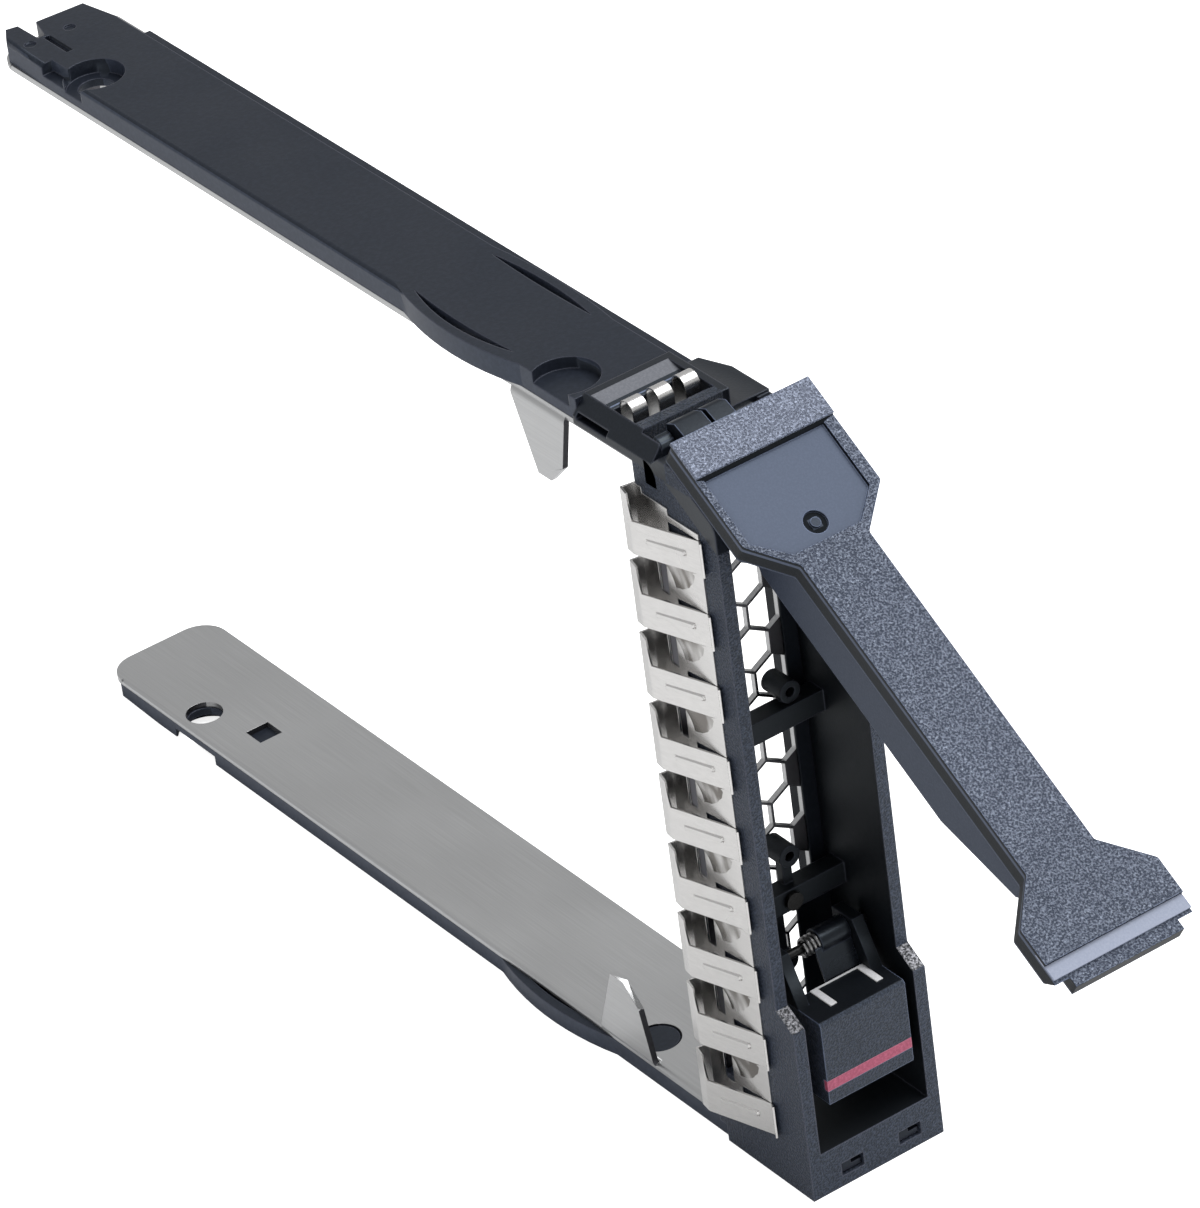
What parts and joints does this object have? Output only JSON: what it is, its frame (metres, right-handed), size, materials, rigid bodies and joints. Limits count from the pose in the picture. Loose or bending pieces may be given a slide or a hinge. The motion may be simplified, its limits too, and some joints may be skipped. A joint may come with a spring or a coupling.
{
  "type": "hot swap drive caddy",
  "caption": "Slim caddy for a 2.5 inch drive: steel sheet between two black rails, an open ejector lever, spring contact fingers and a release button.",
  "frame": {"origin": "on the axis of the lower rear drive screw hole, at the top face of the lower steel plate", "axes": "+Y towards the rear (connector) end, +Z from the lower rail to the upper rail, -X is the side with the contact fingers"},
  "size_m": [0.0167, 0.1599, 0.0777],
  "materials": {
    "bezel_frame": "fine textured black moulding",
    "upper_rail": "smooth black moulding",
    "lower_rail": "smooth black moulding",
    "steel_carrier": "brushed stainless sheet",
    "side_contact_strip": "bright spring steel",
    "top_contact_strip": "bright spring steel",
    "lever": "spark-textured blue-grey moulding",
    "lever_hinge_pin": "plain steel pin",
    "lever_spring": "spring wire",
    "release_button": "fine textured black moulding",
    "button_stripe": "dull red insert",
    "latch_frame": "pale steel catch",
    "button_pivot_pin": "plain steel pin",
    "button_spring": "spring wire",
    "carrier_screw": "blackened screw"
  },
  "bodies": {
    "carrier": {"bezel_frame": "bezel_frame", "upper_rail": "upper_rail", "lower_rail": "lower_rail", "steel_carrier": "steel_carrier", "side_contact_strip": "side_contact_strip", "top_contact_strip": "top_contact_strip", "lever_hinge_pin": "lever_hinge_pin", "lever_spring": "lever_spring", "button_pivot_pin": "button_pivot_pin", "button_spring": "button_spring", "carrier_screw": "carrier_screw"},
    "ejector_lever": {"lever": "lever"},
    "button": {"release_button": "release_button", "button_stripe": "button_stripe", "latch_frame": "latch_frame"}
  },
  "joints": [
    {"name": "lever_swing", "type": "hinge", "parent": "carrier", "child": "ejector_lever", "pos_m": [0, -0.1005, 0.0681], "axis": [1, 0, 0], "range_deg": [0, 57], "deforming": ["lever_spring"]},
    {"name": "button_rock", "type": "hinge", "parent": "carrier", "child": "button", "pos_m": [0, -0.0971, 0.0188], "axis": [1, 0, 0], "range_deg": [0, 8], "stiffness_Nm_per_rad": 0.02, "deforming": ["button_spring"]}
  ]
}
